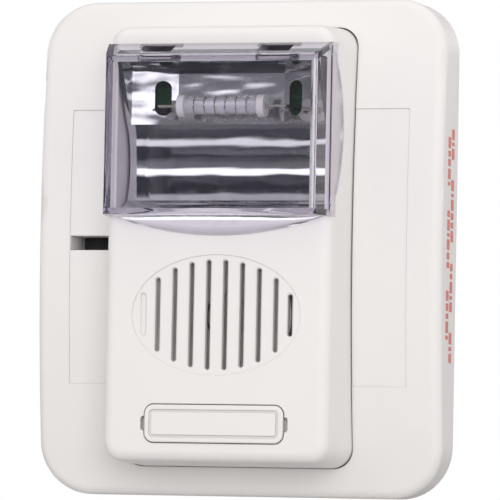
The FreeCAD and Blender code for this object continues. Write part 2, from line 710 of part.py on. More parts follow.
def horn_grille(piece):
    """Slots in a shallow elliptical dish. The leftmost one is only a groove."""
    dish = D.front_face - D.grille_dish
    piece.cut(D.front_face, dish,
              oval(0, D.grille_z, D.grille_half_width + D.grille_margin,
                   D.grille_half_height + D.grille_margin))
    slotted = piece.cut(dish, dish - D.grille_blind, grille_slot(0))
    for number in range(1, int(D.grille_slots.value)):
        slotted = piece.cut(dish, D.front_face - D.front_wall - D.beyond, grille_slot(number))
    reach, across = D.grille_half_width.value, D.grille_slot.value * 2
    flat = in_plane(dish)

    def slot_edge(edge):
        bounds = edge.BoundBox
        return flat(edge) and abs(bounds.XMin) < reach and bounds.XLength < across
    piece.dress("Chamfer", D.grille_chamfer, slotted, slot_edge)


def badge_recess(piece):
    """Recess for the badge, its prise-out notches and peg holes, and the lock screw's well."""
    z = D.badge_z
    recess = D.front_face - D.badge_recess
    inside = D.front_face - D.front_wall
    piece.pad(D.screw_seat - D.screw_seat_wall, inside + D.merge,
              disc(0, z, D.screw_well + D.screw_well_wall * 2))
    piece.cut(D.front_face, recess, box(0, z, D.badge_width, D.badge_height, D.badge_corner))
    piece.cut(D.front_face, D.front_face - D.notch_depth,
              *[box(x, z, D.notch_width, D.notch_height, D.notch_corner)
                for x in both_sides(D.badge_width / 2)])
    piece.cut(recess, inside - D.beyond,
              *[disc(x, z, D.badge_peg + D.part_gap * 2) for x in both_sides(D.badge_peg_x)])
    piece.cut(recess, D.screw_seat, disc(0, z, D.screw_well))
    piece.cut(D.screw_seat, D.screw_seat - D.screw_seat_wall, disc(0, z, D.lock_hole))


def front_housing():
    piece = Piece("front_housing")
    housing_block(piece, Size.of(0))
    wall = D.front_wall
    inside = piece.sketch("front", D.front_back,
                          box(0, 0, D.front_width - wall * 2, D.front_height - wall * 2,
                              D.front_corner - wall))
    piece.feature("Pocket", inside, D.front_face - wall - D.front_back,
                  taper=-D.front_taper, reverse=True)
    points = front_screw_points()
    piece.pad(D.front_back, D.front_boss_top, *discs(points, D.boss_diameter))
    strobe_opening(piece)
    badge_recess(piece)
    horn_grille(piece)
    piece.cut(D.pilot_end, D.front_back, *discs(points, D.screw_pilot))
    left = -D.front_width / 2
    piece.cut(D.front_back + D.arm_notch_depth, D.front_back,
              span(left - D.beyond, left + wall * 2, D.arm_notch_z - D.arm_notch_height / 2,
                   D.arm_notch_z + D.arm_notch_height / 2))


# ---- lens ----

def lens_outline(half_width, high, low, chin_x, radius):
    """Straight top and sides; the bottom edge bows down between plus and minus chin_x."""
    return outline([(-half_width, low), (-chin_x, low), (chin_x, low), (half_width, low),
                    (half_width, high), (-half_width, high)], {1: radius})


def lens_form(piece, kind, inset):
    """The lens's form from its seat to its front, with every wall moved in by inset."""
    seat = D.front_face + D.hole_gap
    low = D.lens_low + inset
    base = lens_outline(D.lens_base_x - inset, D.lens_base_high - inset, low, D.lens_chin_x,
                        D.lens_chin_radius)
    front = lens_outline(D.lens_front_x - inset, D.lens_front_high - inset, low,
                         D.lens_chin_x - (D.lens_base_x - D.lens_front_x),
                         D.lens_lip_radius)
    straight = piece.pad if kind == "Additive" else piece.cut
    ends = (D.lens_seat_depth, seat) if kind == "Additive" else (seat, D.lens_seat_depth)
    straight(*ends, base)
    return piece.loft(kind, (seat, base), (D.lens_front - inset, front))


def lens():
    piece = Piece("lens")
    wall = D.lens_wall
    outside = lens_form(piece, "Additive", Size.of(0))
    piece.dress("Fillet", D.lens_edge_round, outside, in_plane(D.lens_front))
    lens_form(piece, "Subtractive", wall)
    # the seat follows the rounded edge of the front housing
    tool = Piece("lens_seat")
    PIECES.remove(tool.body)
    housing_block(tool, D.hole_gap)
    trim = piece.body.newObject("PartDesign::Boolean", "Boolean")
    trim.Type = "Cut"
    trim.Group = [tool.body]
    doc.recompute()
    for side in (1, -1):
        skirt = piece.sketch("side", side * (D.lens_base_x - wall), skirt_profile(Size.of(0)))
        piece.feature("Pad", skirt, wall, reverse=side < 0)
    # openings in the sloping top wall, through which the clips are pressed free
    half = D.latch_width / 2
    latches = piece.sketch("top", D.strobe_high,
                           *[span(x - half, x + half, -D.latch_front, -D.latch_back)
                             for x in both_sides(D.clip_x)])
    piece.feature("Pocket", latches, D.lens_base_high - D.strobe_high + D.beyond, reverse=True)
    # clips that reach back through the windows of the front housing
    clip_low = D.clip_z - D.clip_height / 2 + D.clip_gap
    half = D.clip_width / 2 - D.clip_gap
    piece.pad(D.clip_depth, D.front_face + wall,
              *[span(x - half, x + half, clip_low, clip_low + D.clip_thick)
                for x in both_sides(D.clip_x)])


# ---- strobe ----

def reflector_dish(piece):
    """Slant-rimmed dish whose cheeks open out from a trough behind the flash tube."""
    wall, width = D.dish_wall, D.dish_front_x
    low, high = D.dish_front_low, D.dish_front_high
    rim = D.dish_front + D.beyond
    inside = width - wall
    floor, roof = D.trough_z - D.trough_radius, D.trough_z + D.trough_radius
    piece.loft("Additive",
               (D.dish_back, span(-D.dish_back_x, D.dish_back_x, low, D.dish_back_high)),
               (D.shoulder_depth, span(-width, width, low, D.shoulder_high)),
               (D.dish_front, span(-width, width, low, high)))
    piece.cut_across(width + D.beyond, outline(
        [(-rim, high - wall), (-rim, low - D.beyond), (-D.roll_top_depth, low - D.beyond),
         (-D.roll_top_depth, low), (-D.dish_front, high - wall)]))
    piece.loft("Subtractive",
               (D.dish_back + wall, span(-D.trough_x, D.trough_x, floor, roof)),
               (D.shoulder_depth + wall,
                span(-inside, inside, floor, D.shoulder_high - wall)),
               (rim, span(-inside, inside, floor, high - wall)))
    piece.cut_across(D.trough_x,
                     disc(-D.trough_centre, D.trough_z, D.trough_radius * 2))
    piece.cut(D.dish_front, D.dish_back - D.beyond,
              *[slot(x, D.dish_hole_z, D.dish_hole_height, D.dish_hole_width)
                for x in both_sides(D.dish_hole_x)])


def reflector():
    piece = Piece("reflector")
    reflector_dish(piece)
    wall = D.dish_wall
    top = D.dish_front_low + wall / 2
    low = D.roll_low
    piece.pad_across(D.dish_front_x, outline(
        [(-D.roll_top_depth, top), (-D.roll_low_depth, low),
         (-D.lip_depth, D.lip_low + wall), (-D.lip_depth, D.lip_low),
         (-D.roll_low_depth + wall, low - wall / 2), (-D.roll_top_depth + wall, top)],
        {0: -D.roll_radius, 4: D.roll_radius - wall}))


def flash_tube():
    glass = Piece("flash_tube", z=D.tube_z, depth=D.tube_depth)
    glass.pad_across(D.tube_half, disc(0, 0, D.tube_outer), disc(0, 0, D.tube_inner))
    rods = Piece("tube_electrodes", z=D.tube_z, depth=D.tube_depth)
    caps = Piece("tube_supports", z=D.tube_z, depth=D.tube_depth)
    for side in (1, -1):
        rod = rods.sketch("side", side * D.electrode_tip, disc(0, 0, D.electrode_diameter))
        rods.feature("Pad", rod, D.electrode_half - D.electrode_tip, reverse=side < 0)
        cap = caps.sketch("side", side * D.support_inner, disc(0, 0, D.support_diameter),
                          disc(0, 0, D.electrode_diameter + D.part_gap * 2))
        caps.feature("Pad", cap, D.support_outer - D.support_inner, reverse=side < 0)


def trigger_wire():
    """Fine wire rings round the flash tube, joined by a straight run behind it."""
    along_x = FreeCAD.Rotation(Vector(0, 1, 0), 90)
    ring_radius = D.tube_outer / 2 + D.trigger_diameter / 2 + D.hole_gap
    parts = []
    for number in range(int(D.trigger_turns.value)):
        ring = doc.addObject("Part::Torus", "TriggerRing")
        bind(ring, "Radius1", ring_radius)
        bind(ring, "Radius2", D.trigger_diameter / 2)
        bind(ring, "Placement.Base.x",
             D.trigger_half * 2 * number / (D.trigger_turns - 1) - D.trigger_half)
        parts.append(ring)
    run = doc.addObject("Part::Cylinder", "TriggerRun")
    bind(run, "Radius", D.trigger_run_diameter / 2)
    bind(run, "Height", D.trigger_half * 2)
    bind(run, "Placement.Base.x", -D.trigger_half)
    bind(run, "Placement.Base.y", ring_radius)
    parts.append(run)
    for part in parts:
        part.Placement.Rotation = along_x
    wire = doc.addObject("Part::MultiFuse", "trigger_wire")
    wire.Shapes = parts
    wire.Label = "trigger_wire"
    bind(wire, "Placement.Base.y", -D.tube_depth)
    bind(wire, "Placement.Base.z", D.tube_z)
    doc.recompute()
    PIECES.append(wire)


def tube_leads():
    """Wires from the tube's electrodes out through the reflector's holes to the board."""
    piece = Piece("tube_leads", z=D.tube_z, depth=D.tube_depth)
    for side in (1, -1):
        piece.bent_wire(side * (D.electrode_half + D.part_gap), side * D.tube_lead_x,
                        D.tube_depth - board_top(), D.lead_diameter)


# ---- circuit board and the parts on it ----

def board_top():
    """Depth on which the parts on the front of the board stand."""
    return D.board_back + D.board_thick + D.part_gap


def terminal_xs():
    return [D.terminal_x + D.terminal_pitch * (number - (D.terminals - 1) / 2)
            for number in range(int(D.terminals.value))]


def circuit_board():
    piece = Piece("circuit_board")
    front = D.board_back + D.board_thick
    half = D.board_width / 2
    piece.pad(D.board_back, front,
              span(-half, half, D.board_low, D.board_high, D.board_corner))
    piece.cut(front, D.board_back, *discs(post_points(), D.board_hole),
              *[disc(x, D.terminal_z, D.terminal_hole) for x in terminal_xs()])


def board_screws():
    piece = Piece("board_screws")
    front = D.board_back + D.board_thick + D.hole_gap
    piece.pad(front, front + D.board_screw_head_thick,
              *discs(post_points(), D.board_screw_head))
    piece.pad(D.board_screw_end, front, *discs(post_points(), D.board_screw_shank))


def flash_capacitor():
    radius = D.capacitor_diameter / 2
    piece = Piece("flash_capacitor", D.capacitor_x, D.capacitor_z, board_top() + radius)
    sketch = piece.sketch("side", 0, disc(0, 0, D.capacitor_diameter))
    can = piece.feature("Pad", sketch, D.capacitor_length)
    piece.dress("Fillet", D.capacitor_round, can,
                lambda edge: edge.BoundBox.XLength < D.glue_gap.value)


def inductor():
    flange, height = D.inductor_flange, D.inductor_height
    core = Piece("inductor_core", D.inductor_x, D.inductor_z, board_top())
    core.pad(0, flange, disc(0, 0, D.inductor_diameter))
    core.pad(flange, height - flange, disc(0, 0, D.inductor_neck))
    core.pad(height - flange, height, disc(0, 0, D.inductor_diameter))
    winding = Piece("inductor_winding", D.inductor_x, D.inductor_z, board_top())
    winding.pad(flange + D.part_gap, height - flange - D.part_gap,
                disc(0, 0, D.inductor_coil), disc(0, 0, D.inductor_neck + D.part_gap))


def power_transistor():
    piece = Piece("power_transistor", D.transistor_x, D.transistor_z, board_top())
    half_width, half_height = D.transistor_width / 2, D.transistor_height / 2
    piece.pad(0, D.transistor_thick, box(0, 0, D.transistor_width, D.transistor_height))
    piece.pad(0, D.tab_thick,
              span(-half_width, half_width, half_height, half_height + D.tab_height),
              disc(0, half_height + D.tab_height / 2, D.tab_hole))


def small_parts():
    """Boxed and chip parts that stand flat on the board."""
    transformer = Piece("trigger_transformer", D.trigger_box_x, D.trigger_box_z, board_top())
    transformer.pad(0, D.trigger_box_depth,
                    box(0, 0, D.trigger_box_width, D.trigger_box_height,
                        D.trigger_box_corner))
    film = Piece("film_capacitor", D.film_x, D.film_z, board_top())
    film.pad(0, D.film_depth, box(0, 0, D.film_width, D.film_height, D.film_corner))
    chip = Piece("controller_chip", D.chip_x, D.chip_z, board_top())
    chip.pad(0, D.chip_thick, box(0, 0, D.chip_width, D.chip_height))
    chips = Piece("chip_parts", D.small_x, D.small_z, board_top())
    chips.pad(0, D.small_thick,
              *[box(D.small_pitch * column, D.small_pitch * row, D.small_width,
                    D.small_height)
                for column in range(int(D.small_columns.value))
                for row in range(int(D.small_rows.value))])


# ---- terminal block ----

def terminal_block():
    front = D.board_back - D.part_gap
    xs, z = terminal_xs(), D.terminal_z
    outer_edge = z - D.block_height / 2 - D.beyond
    block = Piece("terminal_block")
    block.pad(D.block_back, front,
              box(D.terminal_x, z, D.block_width, D.block_height, D.block_corner))
    block.cut(D.pocket_floor, D.block_back,
              *[box(x, z, D.pocket_size, D.pocket_size) for x in xs])
    block.cut(D.contact_back, D.block_back,
              *[span(x - D.wire_entry / 2, x + D.wire_entry / 2, outer_edge, z) for x in xs])
    block.cut(front, D.pocket_floor, *[disc(x, z, D.terminal_hole) for x in xs])
    contacts = Piece("terminal_contacts")
    contacts.pad(D.contact_back, D.pocket_floor - D.part_gap,
                 *[box(x, z, D.clamp_size, D.clamp_size) for x in xs],
                 *[disc(x, z, D.terminal_hole) for x in xs])


def terminal_screw(number, x):
    """A wire clamp and the screw that pulls it down, numbered from the left."""
    clamp = Piece(f"wire_clamp_{number}", x, D.terminal_z, D.clamp_back)
    clamp.pad(0, D.clamp_thick, box(0, 0, D.clamp_size, D.clamp_size, D.clamp_corner),
              disc(0, 0, D.clamp_hole))
    neck = D.clamp_back - D.part_gap
    head = D.terminal_head_thick
    screw = Piece(f"terminal_screw_{number}", x, D.terminal_z, neck)
    screw.pad(-head, 0, disc(0, 0, D.terminal_head))
    screw.pad(0, D.terminal_tip - neck, disc(0, 0, D.terminal_shank))
    screw.cut(D.driver_slot_depth - head, -head,
              box(0, 0, D.terminal_head + D.beyond, D.driver_slot))


# ---- selectors ----

def mode_switches():
    """Volume and tone switches in one body, reached from behind."""
    body = Piece("mode_switch_body", D.switch_x, D.switch_z)
    body.pad(D.switch_back, D.board_back - D.part_gap,
             box(0, 0, D.switch_width, D.switch_height))
    offsets = (-D.actuator_offset, D.actuator_offset)
    gap = D.part_gap * 2
    body.cut(D.actuator_floor, D.switch_back,
             *[box(x, 0, D.actuator_width + gap,
                   D.actuator_height + D.actuator_travel + gap) for x in offsets])
    for name, x in zip(("volume_actuator", "tone_actuator"), offsets):
        actuator = Piece(name, D.switch_x + x, D.switch_z + D.actuator_travel / 2)
        actuator.pad(D.actuator_back, D.actuator_floor - D.part_gap,
                     box(0, 0, D.actuator_width, D.actuator_height))


def setting_marks():
    """Raised bars, one to four of them, that show which light output is set."""
    marks = []
    for setting in range(int(D.mark_settings.value)):
        z = D.window_z + D.mark_pitch * setting
        for number in range(setting + 1):
            x = D.slider_x + D.mark_spacing * (number - setting / 2)
            marks.append(box(x, z, D.mark_width, D.mark_height))
    return marks


def candela_selector():
    slider = Piece("candela_slider")
    front = D.slider_back + D.slider_thick
    half = D.slider_width / 2
    half_arm = D.arm_height / 2
    slider.pad(D.slider_back, front,
               span(D.slider_x - half, D.slider_x + half, D.slider_low, D.slider_high))
    slider.pad(D.slider_back, front,
               span(D.slider_x, D.arm_right, D.arm_z - half_arm, D.arm_z + half_arm))
    slider.pad(D.slider_tab_back, D.slider_back + D.merge,
               box(D.slider_x, D.arm_z, D.slider_tab_width, D.slider_tab_height))
    slider.pad(front, front + D.mark_rise, *setting_marks())
    # a sprung wiper on the end of the arm bears on the back of the board
    wiper = Piece("candela_wiper", D.wiper_x, D.arm_z, front + D.part_gap)
    height = D.wiper_height
    thick = D.wiper_thick
    wiper.pad(0, thick, box(0, 0, D.wiper_width, height))
    wiper.pad(thick, D.board_back - D.part_gap * 2 - front,
              *[box(0, z, D.wiper_width, thick) for z in both_sides((height - thick) / 2)])


# ---- sounder, its pieces centred on the grille ----

def sounder_cup():
    cup = Piece("sounder_cup", z=D.grille_z)
    cup.pad(D.cup_back, D.cup_front, disc(0, 0, D.sounder_diameter))
    cup.cut(D.cup_front, D.cup_back + D.cup_floor, disc(0, 0, D.cup_bore))
    cup.cut(D.cup_front, D.cup_ledge, disc(0, 0, D.cup_ledge_bore))
    cup.cut(D.cup_back + D.cup_floor, D.cup_back,
            *[disc(x, 0, D.lead_hole) for x in both_sides(D.lead_x)])
    leg = cup.pad(board_top(), D.cup_back, disc(0, D.cup_leg_radius, D.cup_leg))
    cup.repeat_around(leg, int(D.cup_legs.value))
    leads = Piece("piezo_leads", z=D.grille_z)
    leads.pad(board_top(), D.lead_front,
              *[disc(x, 0, D.lead_diameter) for x in both_sides(D.lead_x)])


def diaphragm():
    """Piezo disc: a thin plate with a ceramic wafer on its back, held at its edge."""
    plate = Piece("diaphragm", z=D.grille_z, depth=D.diaphragm_back)
    plate.pad(0, D.diaphragm_thick, disc(0, 0, D.diaphragm_diameter))
    ceramic = Piece("piezo_ceramic", z=D.grille_z, depth=D.diaphragm_back - D.glue_gap)
    ceramic.pad(-D.ceramic_thick, 0, disc(0, 0, D.ceramic_diameter))
    ring = Piece("sounder_ring", z=D.grille_z)
    ring.pad(D.clamp_ring_back, D.clamp_ring_front,
             disc(0, 0, D.cup_ledge_bore - D.part_gap * 2), disc(0, 0, D.clamp_ring_bore))


def horn():
    """Throat that flares from a port over the diaphragm to the grille, and its gasket."""
    throat = Piece("horn_throat", z=D.grille_z)
    back, front = D.cup_front + D.part_gap, D.throat_front
    throat.pad(back, front, disc(0, 0, D.sounder_diameter))
    port, mouth, past = D.throat_port / 2, D.throat_mouth / 2, D.beyond
    throat.turn("Groove", outline(
        [(-back + past, 0), (-back + past, port), (-back, port), (-front, mouth),
         (-front - past, mouth), (-front - past, 0)]))
    gasket = Piece("sounder_gasket", z=D.grille_z)
    gasket.pad(front + D.hole_gap, D.gasket_front,
               disc(0, 0, D.sounder_diameter), disc(0, 0, D.gasket_bore))


# ---- badge and fasteners ----

def badge():
    """Blank name badge with an engraved border and two pegs."""
    piece = Piece("badge", z=D.badge_z)
    back = D.front_face - D.badge_recess + D.hole_gap
    front = back + D.badge_thick
    width, height = D.badge_width - D.badge_gap * 2, D.badge_height - D.badge_gap * 2
    corner = D.badge_corner - D.badge_gap
    plate = piece.pad(back, front, box(0, 0, width, height, corner))
    piece.dress("Fillet", D.badge_round, plate, in_plane(front))
    outer = D.badge_line_inset * 2
    inner = outer + D.badge_line_width * 2
    piece.cut(front, front - D.badge_line,
              box(0, 0, width - outer, height - outer, corner / 2),
              box(0, 0, width - inner, height - inner, corner / 4))
    piece.pad(D.badge_peg_depth, back,
              *[disc(x, 0, D.badge_peg) for x in both_sides(D.badge_peg_x)])


def lock_screw():
    """Captive screw that holds the unit on its mounting plate, and its retaining ring."""
    seat = D.screw_seat + D.part_gap
    screw = Piece("lock_screw", z=D.badge_z)
    top = seat + D.lock_head_height
    head = screw.pad(seat, top, disc(0, 0, D.lock_head))
    screw.dress("Fillet", D.lock_head_round, head, in_plane(top))
    screw.pad(D.lock_tip, seat, disc(0, 0, D.lock_shank))
    screw.cut(top, top - D.lock_slot_depth, box(0, 0, D.lock_head + D.beyond, D.lock_slot))
    ring = Piece("lock_screw_clip", z=D.badge_z, depth=D.ring_depth)
    ring.pad(0, D.ring_thick, disc(0, 0, D.ring_outer),
             disc(0, 0, D.lock_shank + D.hole_gap * 2))


def long_screws(name, points):
    """Self-tapping screws put in from behind, with a cross recess in each head."""
    piece = Piece(name)
    back = D.rear_back + D.hole_gap
    neck = back + D.screw_head_thick
    piece.pad(back, neck, *discs(points, D.screw_head))
    piece.pad(neck, D.screw_end, *discs(points, D.screw_shank))
    recess = back + D.screw_cross
    long, short = D.screw_cross_length, D.screw_cross
    piece.cut(recess, back, *[box(x, z, long, short) for x, z in points])
    piece.cut(recess, back, *[box(x, z, short, long) for x, z in points])


def build():
    mounting_plate()
    lock_insert()
    rear_housing()
    rating_label()
    outer_cover()
    front_housing()
    lens()
    reflector()
    flash_tube()
    trigger_wire()
    tube_leads()
    circuit_board()
    board_screws()
    flash_capacitor()
    inductor()
    power_transistor()
    small_parts()
    terminal_block()
    for number, x in enumerate(terminal_xs(), start=1):
        terminal_screw(number, x)
    mode_switches()
    candela_selector()
    sounder_cup()
    diaphragm()
    horn()
    badge()
    lock_screw()
    long_screws("housing_screws", front_screw_points())
    long_screws("cover_screws", cover_screw_points())


def check():
    """Stops with a message if any object of the document failed."""
    problems = []
    for thing in doc.Objects:
        if "Invalid" in thing.State or "Error" in thing.State:
            problems.append(f"{thing.Name} ({thing.Label}): {thing.State}")
    for piece in PIECES:
        if piece.Shape.isNull() or not piece.Shape.isValid() or not piece.Shape.Solids:
            problems.append(f"{piece.Label}: no valid solid")
    if problems:
        raise SystemExit("\n".join(problems))


def export():
    os.makedirs("parts", exist_ok=True)
    for old in os.listdir("parts"):
        if old.endswith(".step"):
            os.remove(os.path.join("parts", old))
    for piece in PIECES:
        piece.Shape.exportStep(os.path.join("parts", piece.Label + ".step"))


build()
check()
export()
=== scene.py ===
"""Horn strobe: materials, printed marks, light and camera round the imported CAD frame."""

import json
import math

import bpy
from mathutils import Matrix, Vector

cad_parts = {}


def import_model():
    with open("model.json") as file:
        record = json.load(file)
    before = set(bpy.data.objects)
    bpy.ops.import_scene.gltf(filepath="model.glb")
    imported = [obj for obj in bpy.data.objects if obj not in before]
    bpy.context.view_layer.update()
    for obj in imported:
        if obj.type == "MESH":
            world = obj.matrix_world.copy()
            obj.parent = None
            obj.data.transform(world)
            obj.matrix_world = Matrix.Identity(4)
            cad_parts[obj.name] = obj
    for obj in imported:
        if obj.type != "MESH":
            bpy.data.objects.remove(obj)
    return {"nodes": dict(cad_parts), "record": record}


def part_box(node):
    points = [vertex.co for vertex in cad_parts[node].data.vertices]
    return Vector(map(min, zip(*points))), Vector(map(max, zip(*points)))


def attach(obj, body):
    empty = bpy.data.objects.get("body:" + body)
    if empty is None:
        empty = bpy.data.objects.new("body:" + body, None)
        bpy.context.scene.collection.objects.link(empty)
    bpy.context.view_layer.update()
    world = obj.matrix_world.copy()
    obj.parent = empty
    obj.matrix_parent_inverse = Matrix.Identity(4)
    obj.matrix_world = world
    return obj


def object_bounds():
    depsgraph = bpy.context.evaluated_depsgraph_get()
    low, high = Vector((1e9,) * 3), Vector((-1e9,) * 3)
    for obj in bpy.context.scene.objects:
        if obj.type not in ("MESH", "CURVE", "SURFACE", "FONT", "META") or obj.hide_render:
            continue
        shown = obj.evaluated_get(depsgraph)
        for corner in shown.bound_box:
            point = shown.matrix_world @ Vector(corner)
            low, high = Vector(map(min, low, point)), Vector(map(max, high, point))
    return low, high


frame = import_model()
CAD_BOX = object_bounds()

MM = 0.001
WHITE = (1.0, 1.0, 1.0, 1.0)
SHADE_REACH = 1.8 * MM              # how far from a corner the painted corner shade spreads
SHADE_SHARE = (0.42, 0.38, 0.34)    # how much of a plastic's colour the painted corner shade keeps
LENS_BODY = (0.66, 0.63, 0.80, 1.0)
LENS_DENSITY = 45.0                # light taken up by the lens's body, per metre
ROOM_TONE = (1.0, 0.975, 0.965, 1.0)
ROOM_LIGHT = 0.86
FLOOR_RADIUS = 2.5
FLOOR_DROP = 30 * MM               # from the object's lowest point
FLOOR_GLOW = 0.42                  # lifts the floor to the backdrop's white


# ---- node helpers ----

class Graph:
    """A node tree with short calls for adding nodes. Inputs are given by name, and a value
    that is an output socket is linked instead of set."""

    def __init__(self, tree):
        self.tree = tree
        tree.nodes.clear()

    def put(self, socket, value):
        if isinstance(value, bpy.types.NodeSocket):
            self.tree.links.new(value, socket)
        else:
            socket.default_value = value

    def add(self, kind, inputs=None, **settings):
        node = self.tree.nodes.new(kind)
        for key, value in settings.items():
            setattr(node, key, value)
        for key, value in (inputs or {}).items():
            self.put(node.inputs[key], value)
        return node

    def place(self):
        """Position in the object's own frame, in metres."""
        return self.add("ShaderNodeTexCoord").outputs["Object"]

    def stretch(self, vector, x, y, z):
        return self.add("ShaderNodeMapping", {"Vector": vector, "Scale": (x, y, z)}).outputs[0]

    def noise(self, vector, scale, detail=3.0, rough=0.5):
        return self.add("ShaderNodeTexNoise", {
            "Vector": vector, "Scale": scale, "Detail": detail, "Roughness": rough}).outputs[0]

    def math(self, operation, a, b):
        node = self.add("ShaderNodeMath", operation=operation)
        self.put(node.inputs[0], a)
        self.put(node.inputs[1], b)
        return node.outputs[0]

    def spread(self, value, low, high, start=0.0, end=1.0):
        """Maps start..end of value to low..high."""
        return self.add("ShaderNodeMapRange", {
            "Value": value, "From Min": start, "From Max": end, "To Min": low,
            "To Max": high}).outputs[0]

    def tint(self, factor, a, b):
        """Mixes colour a towards colour b."""
        node = self.add("ShaderNodeMix", data_type="RGBA")
        self.put(node.inputs[0], factor)
        self.put(node.inputs[6], colour(a))
        self.put(node.inputs[7], colour(b))
        return node.outputs[2]

    def mix(self, factor, a, b):
        """Mixes shader a towards shader b."""
        node = self.add("ShaderNodeMixShader")
        self.put(node.inputs[0], factor)
        self.tree.links.new(a, node.inputs[1])
        self.tree.links.new(b, node.inputs[2])
        return node.outputs[0]

    def bump(self, height, depth, normal=None):
        inputs = {"Height": height, "Strength": 1.0, "Distance": depth}
        if normal is not None:
            inputs["Normal"] = normal
        return self.add("ShaderNodeBump", inputs).outputs[0]

    def sharp_ray(self, rays):
        """1 for a ray that left a mirror or passed through glass."""
        return self.math("MAXIMUM", rays.outputs["Is Glossy Ray"],
                         rays.outputs["Is Transmission Ray"])

    def finish(self, shader, volume=None):
        inputs = {"Surface": shader}
        if volume is not None:
            inputs["Volume"] = volume
        self.add("ShaderNodeOutputMaterial", inputs)


def colour(value):
    """Adds full opacity to a plain colour, and leaves a socket as it is."""
    if isinstance(value, tuple) and len(value) == 3:
        return (*value, 1.0)
    return value


def new_material(name):
    material = bpy.data.materials.new(name)
    material.use_nodes = True
    return material, Graph(material.node_tree)


# ---- materials ----

def moulded(name, tone, rough=0.42, grain=0.03, edge=0.25, corner_shade=0.0, vary=0.03):
    """Injection-moulded plastic: slow shifts of tone, a fine spark-eroded grain, softened
    edges and, where asked for, painted shade in the corners. grain is the grain's depth and
    edge the radius that edges seem to have, both in millimetres. The argument after edge sets
    the painted shade's share in the deepest corners, and vary is how much darker the tone gets
    in its slow shifts."""
    material, g = new_material(name)
    place = g.place()
    slow = g.noise(place, scale=28.0, detail=2.0)
    darker = tuple(part * (1 - vary) for part in tone)
    base = g.tint(g.spread(slow, 0.0, 1.0, start=0.3, end=0.7), tone, darker)
    # painted shade: ambient occlusion darkens the tone towards a warm brown in corners, seams
    # and slots
    if corner_shade:
        corner = g.add("ShaderNodeAmbientOcclusion", {"Distance": SHADE_REACH}, samples=6)
        shade = g.spread(corner.outputs["AO"], corner_shade, 0.0, start=0.25, end=0.85)
        shaded_tone = tuple(part * share for part, share in zip(tone, SHADE_SHARE))
        base = g.tint(shade, base, shaded_tone)
    fine = g.noise(place, scale=1900.0, detail=2.0, rough=0.6)
    patches = g.noise(place, scale=90.0, detail=3.0)
    roughness = g.spread(patches, rough - 0.05, rough + 0.07, start=0.3, end=0.7)
    soft = g.add("ShaderNodeBevel", {"Radius": edge * MM}, samples=4).outputs[0]
    shader = g.add("ShaderNodeBsdfPrincipled", {
        "Base Color": base, "Roughness": roughness, "IOR": 1.53,
        "Normal": g.bump(fine, grain * MM, soft)})
    g.finish(shader.outputs[0])
    return material


def metal(name, tone, rough=0.3, streak=(60.0, 900.0, 60.0)):
    """Bare or plated metal with fine drawn or rolled streaks and a few dull patches. streak
    is how fine the pattern is along x, y and z."""
    material, g = new_material(name)
    place = g.place()
    lines = g.noise(g.stretch(place, *streak), scale=1.0, detail=4.0, rough=0.6)
    dull = g.noise(place, scale=220.0, detail=3.0)
    dull_tone = tuple(part * 0.72 for part in tone)
    base = g.tint(g.spread(dull, 0.0, 0.5, start=0.45, end=0.75), tone, dull_tone)
    shader = g.add("ShaderNodeBsdfPrincipled", {
        "Base Color": base, "Metallic": 1.0,
        "Roughness": g.spread(lines, rough - 0.08, rough + 0.12, start=0.3, end=0.7),
        "Normal": g.bump(lines, 0.01 * MM)})
    g.finish(shader.outputs[0])
    return material


def clear_lens(name):
    """Polycarbonate with a faint violet body colour and a little haze at grazing angles.
    Light passes it without a hard shadow."""
    material, g = new_material(name)
    violet = (0.90, 0.885, 0.945, 1.0)
    wave = g.noise(g.place(), scale=45.0, detail=1.0)
    glass = g.add("ShaderNodeBsdfPrincipled", {
        "Base Color": (0.985, 0.982, 0.995, 1.0), "Roughness": 0.02, "IOR": 1.58,
        "Transmission Weight": 1.0, "Normal": g.bump(wave, 0.06 * MM)})
    haze = g.add("ShaderNodeBsdfDiffuse", {"Color": violet})
    facing = g.add("ShaderNodeLayerWeight", {"Blend": 0.35}).outputs["Facing"]
    grazing = g.spread(facing, 0.0, 0.2, start=0.35, end=1.0)
    milky = g.mix(grazing, glass.outputs[0], haze.outputs[0])
    through = g.add("ShaderNodeBsdfTransparent", {"Color": violet})
    rays = g.add("ShaderNodeLightPath")
    light = g.math("MAXIMUM", rays.outputs["Is Shadow Ray"], rays.outputs["Is Diffuse Ray"])
    body = g.add("ShaderNodeVolumeAbsorption", {"Color": LENS_BODY, "Density": LENS_DENSITY})
    g.finish(g.mix(light, milky, through.outputs[0]), body.outputs[0])
    return material


def tube_glass(name):
    """Thin glass, slightly milky and frosted, so the tube reads bright against the mirror."""
    material, g = new_material(name)
    milk_share = 0.35
    frost = g.noise(g.place(), scale=400.0, detail=2.0)
    glass = g.add("ShaderNodeBsdfPrincipled", {
        "Base Color": (0.97, 0.97, 0.99, 1.0), "IOR": 1.47, "Transmission Weight": 1.0,
        "Roughness": g.spread(frost, 0.02, 0.14, start=0.35, end=0.7)})
    milk = g.add("ShaderNodeBsdfDiffuse", {"Color": (0.95, 0.95, 0.96, 1.0)})
    cloudy = g.mix(milk_share, glass.outputs[0], milk.outputs[0])
    through = g.add("ShaderNodeBsdfTransparent", {"Color": (0.95, 0.95, 0.97, 1.0)})
    rays = g.add("ShaderNodeLightPath")
    g.finish(g.mix(rays.outputs["Is Shadow Ray"], cloudy, through.outputs[0]))
    return material


